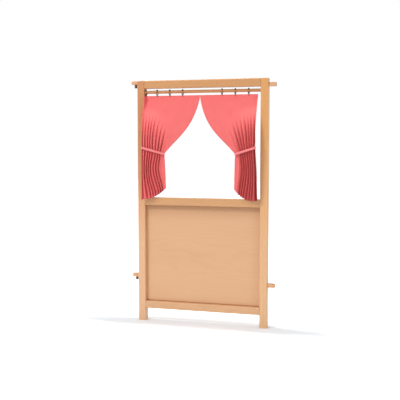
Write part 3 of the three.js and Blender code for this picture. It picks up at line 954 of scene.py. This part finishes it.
# How far the floor runs, its paint and grain, and how strongly it shows plain white further off
FLOOR_HALF = 14.0
FLOOR_PAINT = ((236, 239, 243), (239, 242, 246))
FLOOR_GRAIN = 3
FLOOR_WHITE = 0.8

# The shadow is kept round a place a little in front of the frame, within a reach that its shape draws out
# along the stand
SHADOW_FORWARD = 30 * MM
SHADOW_SHAPE = (0.11, 1, 1)
SHADOW_REACH = (0.06, 0.2)


def aim(thing, place, target):
    """Puts a camera or lamp at a place and turns it to a target."""
    thing.location = place
    way = Vector(target) - Vector(place)
    thing.rotation_euler = way.to_track_quat("-Z", "Y").to_euler()


def make_camera():
    camera = bpy.data.cameras.new("camera")
    camera.lens = CAMERA_LENS_MM
    camera.sensor_width = SENSOR_MM
    seen = bpy.data.objects.new("camera", camera)
    bpy.context.scene.collection.objects.link(seen)
    aim(seen, CAMERA_PLACE, LOOK_AT)
    bpy.context.scene.camera = seen


def make_lamp(name, place, target, size, watts, colour):
    lamp = bpy.data.lights.new(name, "AREA")
    lamp.shape = "DISK"
    lamp.size = size
    lamp.energy = watts
    lamp.color = colour
    holder = bpy.data.objects.new(name, lamp)
    bpy.context.scene.collection.objects.link(holder)
    aim(holder, place, target)


def make_surroundings():
    """A soft studio: more light from above than from the side, and plain white for the camera and gloss."""
    world = bpy.data.worlds.new("studio")
    bpy.context.scene.world = world
    light = Tree(world, "Background")
    camera_ray = light.node("LightPath", output="Is Camera Ray")
    seen = camera_ray.math("MAXIMUM", camera_ray, light.node("LightPath", output="Is Glossy Ray"))
    up = light.part(light.node("TexCoord", output="Generated"), "Z")
    level = light.node("MapRange", {}, {"Value": up, "To Min": SIDE_LIGHT, "To Max": SKY_LIGHT})
    light.set(Color=WHITE, Strength=light.node("Mix", {}, {0: seen, 2: level, 3: 1.0}))


def make_floor():
    """A white floor that keeps the stand's shadow near its feet and runs out to plain white further off."""
    corners = FLOOR_HALF * np.array([(-1, -1, 0), (1, -1, 0), (1, 1, 0), (-1, 1, 0)])
    finish = Finish("floor_white")
    where = finish.place(shift=(0, SHADOW_FORWARD - FRAME_MIDDLE, 0), scale=SHADOW_SHAPE)
    far = finish.length(where).between(*SHADOW_REACH)
    grain = finish.noise(where, FLOOR_GRAIN, detail=2)
    low, high = (paint(*tone) for tone in FLOOR_PAINT)
    finish.set(Base_Color=finish.blend(grain, low, high), Roughness=0.9, Specular_IOR_Level=0.0)
    seen = finish.node("LightPath", output="Is Camera Ray")
    finish.set(Emission_Color=finish.blend(seen * far * FLOOR_WHITE, BLACK, WHITE), Emission_Strength=1.0)
    floor = make_piece("floor", corners, [[0, 1, 2, 3]], finish.material, smooth=False)


make_camera()
make_surroundings()
make_floor()
for name, lamp in LAMPS.items():
    make_lamp(name, *lamp)

# Finishes of the frame's own nodes

# Each board's grain, its pith beside it in the turned sizes, and its pale tone at the foot and at the top.
# The tones are darker the higher a board stands: painted shade of the stand's upper part
BOARDS = {
    "left_stile": ("Z", (0.42, 0.05, 0), (229, 182, 141), (203, 140, 92)),
    "right_stile": ("Z", (-0.40, -0.07, 0), (228, 181, 134), (224, 164, 100)),
    "top_rail": ("X", (-1.31, 0.06, 0), (207, 151, 98), (207, 151, 98)),
    "mid_rail": ("X", (-0.70, -0.08, 0), (211, 161, 112), (211, 161, 112)),
    "bottom_rail": ("X", (-0.02, 0.05, 0), (219, 172, 128), (219, 172, 128)),
    "curtain_rod": ("X", (-1.2, 0.03, 0), (198, 136, 80), (198, 136, 80)),
}
# The panel's tones at the stand's foot and top, the top one darker as painted shade
PANEL_TONES = ((219, 172, 130), (211, 164, 124))
PANEL_PITH = (-0.35, 0.5, 0)
PANEL_ROUGHNESS = 0.5
PANEL_FIGURE = 0.35
PANEL_FACE = (OPENING_HALF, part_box("bottom_rail")[1].z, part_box("mid_rail")[0].z)
LINK_TONE = (222, 170, 124)
LINK_PITH = (-0.6, 0.05, 0)
DOWEL_TONE = (222, 188, 146)
DOWEL_PITH = (0.01, 0.01, 0)

# Dark wood and flecks as shares of the pale wood's red, green and blue
DARK_WOOD = (0.92, 0.87, 0.82)
FLECK_WOOD = (0.76, 0.65, 0.54)


def board_tones(foot, top):
    """Pale wood, dark wood and flecks at the foot of the stand and at its top, from the two pale tones."""
    shares = np.array([(1, 1, 1), DARK_WOOD, FLECK_WOOD])
    return [[paint(*(share * tone)) for share in shares] for tone in (np.array(foot), np.array(top))]


def dress(node, material):
    """Gives a node of the frame its finish."""
    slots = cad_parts[node].data.materials
    for index in range(len(slots)):
        slots[index] = material


def dress_frame():
    for node, (along, pith, foot, top) in BOARDS.items():
        dress(node, beech("beech_" + node, board_tones(foot, top), along, pith))
    panel_tones = board_tones(*PANEL_TONES)
    panel_wood = beech("beech_panel", panel_tones, "X", PANEL_PITH, PANEL_ROUGHNESS, PANEL_FIGURE, PANEL_FACE)
    dress("infill_panel", panel_wood)
    link_wood = beech("beech_links", board_tones(LINK_TONE, LINK_TONE), "X", LINK_PITH)
    for node in ("left_upper_tab", "left_lower_tab", "right_upper_eye", "right_lower_eye"):
        dress(node, link_wood)
    dowel_wood = beech("beech_dowels", board_tones(DOWEL_TONE, DOWEL_TONE), "X", DOWEL_PITH)
    pin_metal = bronze("dark_pin_metal", paint(112, 92, 70), paint(150, 122, 90))
    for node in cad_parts:
        if node.endswith("_dowel"):
            dress(node, dowel_wood)
        if node.endswith("_pin"):
            dress(node, pin_metal)


dress_frame()

# Rings, curtains and bands

RED_WEAVE = 0.45 * MM
PINK_WEAVE = 0.4 * MM

# The body that each ring moves with
RING_BODIES = {
    "left_ring_1": "stand",
    "left_ring_2": "left_ring_2_slider",
    "left_ring_3": "left_ring_3_slider",
    "left_ring_4": "left_ring_4_slider",
    "right_ring_1": "right_ring_1_slider",
    "right_ring_2": "right_ring_2_slider",
    "right_ring_3": "right_ring_3_slider",
}

# The rings get a painted highlight round their middle height
ring_bronze = bronze("dark_ring_bronze", paint(88, 72, 58), paint(196, 154, 112), RING_HEIGHT)
red_thread = sewing_thread("red_thread", paint(228, 104, 106), paint(200, 76, 80))
pink_thread = sewing_thread("pink_thread", paint(236, 140, 142), paint(214, 112, 116))
# The red cotton's valley colour is the painted shade of the fold valleys
red_cotton = cotton("red_cotton", paint(243, 120, 118), paint(226, 100, 99), paint(160, 40, 46), RED_WEAVE)
deep_pink = paint(232, 122, 126)
pink_cotton = cotton("pink_cotton", paint(245, 140, 142), deep_pink, deep_pink, PINK_WEAVE)

for ring_name, body in RING_BODIES.items():
    ring, ring_place = make_ring(ring_name, ring_bronze)
    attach(ring, body)
    binding = make_binding(ring_name + "_binding", ring_place, red_thread)
    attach(binding, body)

for side, flip in SIDES.items():
    cloth, points, cut = make_curtain(side, red_cotton)
    hems = make_curtain_stitches(side, points, cut, red_thread)
    band, band_stitches, band_length = make_band(side, pink_cotton, pink_thread)
    for piece in (cloth, hems, band, band_stitches):
        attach(piece, "stand")
        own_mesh(piece)
    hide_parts(side + "_curtain")
    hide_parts(side + "_tieback")

bpy.context.scene.view_settings.view_transform = "Standard"
